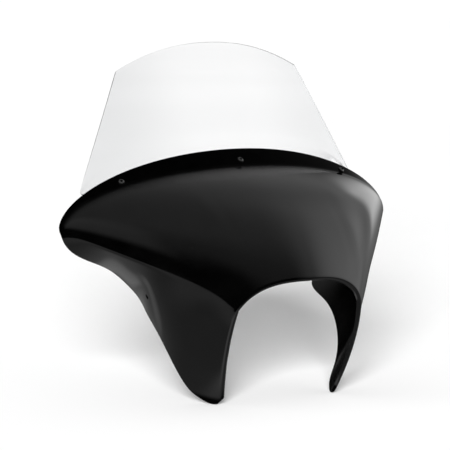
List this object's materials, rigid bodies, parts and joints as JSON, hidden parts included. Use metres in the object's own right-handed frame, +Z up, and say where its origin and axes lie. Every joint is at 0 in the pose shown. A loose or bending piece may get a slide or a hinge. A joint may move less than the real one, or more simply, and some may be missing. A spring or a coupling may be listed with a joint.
{
  "type": "batwing fairing",
  "caption": "Gloss black batwing motorcycle fairing with a headlight arch between its side legs, and a clear windshield screwed behind its top band.",
  "frame": {"origin": "on the axis of the headlight, in the plane of the wing tips' rear edge", "axes": "+X across from the left wing tip to the right, +Y back towards the rider, +Z up"},
  "size_m": [0.503, 0.2437, 0.4507],
  "materials": {
    "shell": "gloss",
    "screen": "clear",
    "screw": "satin",
    "steel": "satin"
  },
  "bodies": {
    "root": {"fairing_shell": "shell", "windshield": "screen", "left_screw": "screw", "left_washer": "steel", "left_nut": "steel", "centre_screw": "screw", "centre_washer": "steel", "centre_nut": "steel", "right_screw": "screw", "right_washer": "steel", "right_nut": "steel"}
  },
  "joints": []
}
